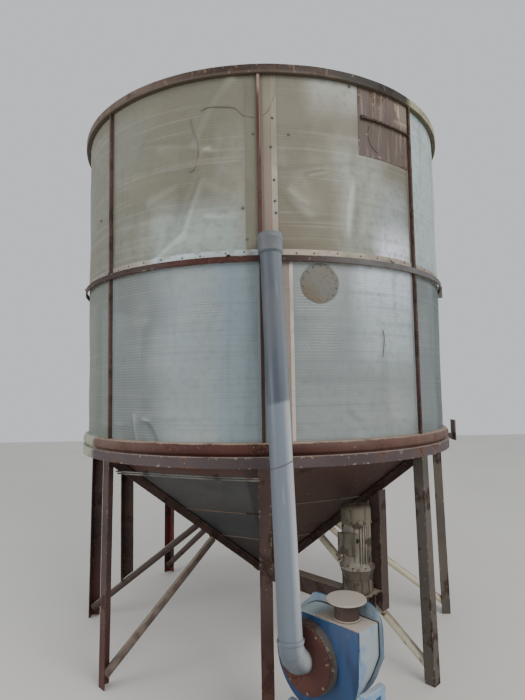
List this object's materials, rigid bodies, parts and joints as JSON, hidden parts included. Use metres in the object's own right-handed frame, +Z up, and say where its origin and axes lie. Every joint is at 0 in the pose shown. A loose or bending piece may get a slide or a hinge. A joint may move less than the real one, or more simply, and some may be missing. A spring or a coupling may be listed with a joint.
{
  "type": "round bin grain dryer",
  "caption": "Round perforated-wall grain drying bin with an inner air core and a funnel hopper on splayed legs, fed by a blower through a plastic pipe.",
  "frame": {"origin": "on the ground under the middle of the whole assembly's box; the bin's own axis stands 46.5 mm to its left and 188.6 mm behind it", "axes": "+Z up, -Y the front with the air pipe and blower, +X to the right seen from the front"},
  "size_m": [2.743, 3.0272, 3.393],
  "materials": {
    "galvanised": "thin galvanised sheet, finely perforated, dusty and dented",
    "rusty_brown": "old brown primer over rolled steel, rusting through",
    "worn_primer": "thin red-brown primer worn to grey steel",
    "cream_tube": "old cream paint on a steel tube, flaking to rust",
    "grey_pipe": "grey drain pipe plastic, dusty",
    "blue_paint": "blue brushed paint, chipped and dusty on top",
    "bare_rust": "bare rusted steel",
    "motor_grey": "dusty olive-grey paint on cast iron"
  },
  "bodies": {
    "root": {"air_pipe": "grey_pipe", "base_ring": "rusty_brown", "blower_casing": "blue_paint", "blower_inlet_cover": "bare_rust", "blower_outlet_stub": "bare_rust", "blower_stand": "blue_paint", "brace_1": "rusty_brown", "brace_2": "cream_tube", "brace_3": "cream_tube", "brace_4": "cream_tube", "brace_5": "rusty_brown", "brace_6": "rusty_brown", "brace_7": "rusty_brown", "brace_8": "rusty_brown", "drive_beam": "rusty_brown", "gearbox": "motor_grey", "hopper_frame": "rusty_brown", "hopper_panel_1": "rusty_brown", "hopper_panel_2": "rusty_brown", "hopper_panel_3": "rusty_brown", "hopper_panel_4": "rusty_brown", "hopper_panel_5": "rusty_brown", "hopper_panel_6": "rusty_brown", "hopper_panel_7": "rusty_brown", "hopper_panel_8": "galvanised", "inner_cone": "galvanised", "inner_cylinder": "galvanised", "inner_post_front_right": "worn_primer", "inner_post_left": "rusty_brown", "leg_1": "worn_primer", "leg_2": "worn_primer", "leg_3": "worn_primer", "leg_4": "worn_primer", "leg_5": "worn_primer", "leg_6": "worn_primer", "leg_7": "worn_primer", "leg_8": "worn_primer", "lip_ring": "bare_rust", "lower_sheet_back_left": "galvanised", "lower_sheet_back_right": "galvanised", "lower_sheet_front_left": "galvanised", "lower_sheet_front_right": "galvanised", "motor_body": "motor_grey", "motor_fan_cover": "motor_grey", "motor_terminal_box": "motor_grey", "patch_panel": "worn_primer", "pipe_elbow": "grey_pipe", "round_cover": "galvanised", "skirt_plate": "rusty_brown", "top_rim": "bare_rust", "upper_sheet_back_left": "galvanised", "upper_sheet_back_right": "galvanised", "upper_sheet_front_left": "galvanised", "upper_sheet_front_right": "galvanised", "wall_frame": "rusty_brown"}
  },
  "joints": []
}
